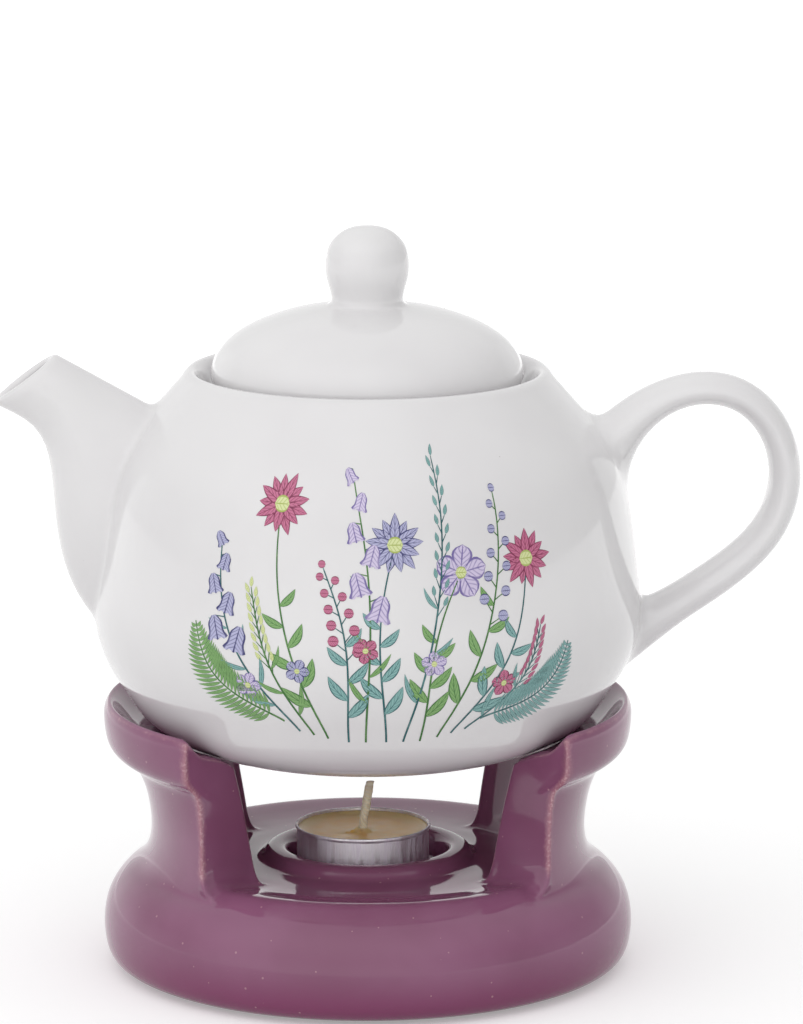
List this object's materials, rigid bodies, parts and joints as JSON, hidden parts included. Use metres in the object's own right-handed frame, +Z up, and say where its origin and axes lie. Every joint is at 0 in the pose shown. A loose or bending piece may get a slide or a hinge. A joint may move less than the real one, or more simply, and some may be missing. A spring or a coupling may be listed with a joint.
{
  "type": "food warmer",
  "caption": "Glazed ceramic tealight warmer: a round burner stand with two cradle arms carries a lidded teapot over a candle",
  "frame": {"origin": "centre of the whole warmer's footprint box, on the surface it stands on", "axes": "+Z up; +X towards the handle, so the spout points along -X; -Y is the front"},
  "size_m": [0.224, 0.1524, 0.2085],
  "materials": {
    "plum_glaze": "glossy",
    "white_glaze": "glossy",
    "foil": "bright, crimped",
    "wax": "satin",
    "cotton": "braided, waxed",
    "tinplate": "bright"
  },
  "bodies": {
    "stand": {"warmer_stand": "plum_glaze"},
    "tealight": {"tealight_cup": "foil", "tealight_wax": "wax", "wick_sustainer": "tinplate", "tealight_wick": "cotton"},
    "teapot": {"teapot_body": "white_glaze", "teapot_spout": "white_glaze", "teapot_handle": "white_glaze"},
    "lid": {"lid_cover": "white_glaze", "lid_knob": "white_glaze"}
  },
  "joints": [
    {"name": "tealight_lift", "type": "slide", "parent": "stand", "child": "tealight", "axis": [0, 0, 1], "range_m": [0, 0.01]},
    {"name": "teapot_lift", "type": "slide", "parent": "stand", "child": "teapot", "axis": [0, 0, 1], "range_m": [0, 0.026]},
    {"name": "lid_lift", "type": "slide", "parent": "teapot", "child": "lid", "axis": [0, 0, 1], "range_m": [0, 0.034]}
  ]
}
